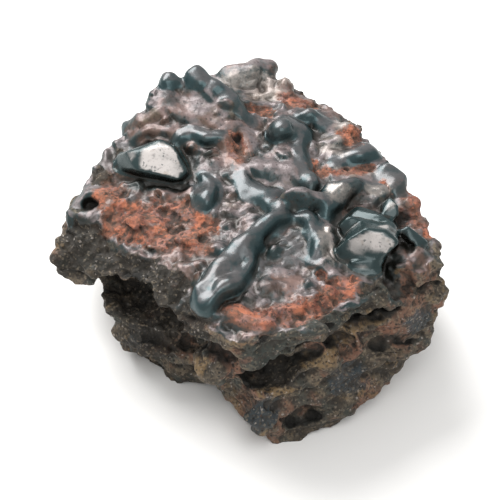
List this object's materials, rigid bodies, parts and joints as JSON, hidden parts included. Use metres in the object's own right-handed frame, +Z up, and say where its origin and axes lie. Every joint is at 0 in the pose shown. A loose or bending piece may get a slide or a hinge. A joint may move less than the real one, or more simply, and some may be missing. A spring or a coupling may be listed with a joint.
{
  "type": "tin ore specimen",
  "caption": "Angular lump of dark gritty ore under a thick crust that has run and set in glossy ropes, with rust patches, pits and hollows under its lip.",
  "frame": {"origin": "centre of the bounding box, on the flat broken face that the stone rests on", "axes": "+Z up, +X to the right across the side that shows best, +Y away from it towards the back"},
  "size_m": [0.078, 0.0791, 0.0475],
  "materials": {
    "ore": "gritty dark stone with a semi-metallic, glossy fused crust and matt rust patches"
  },
  "bodies": {
    "root": {"ore_lump": "ore"}
  },
  "joints": []
}
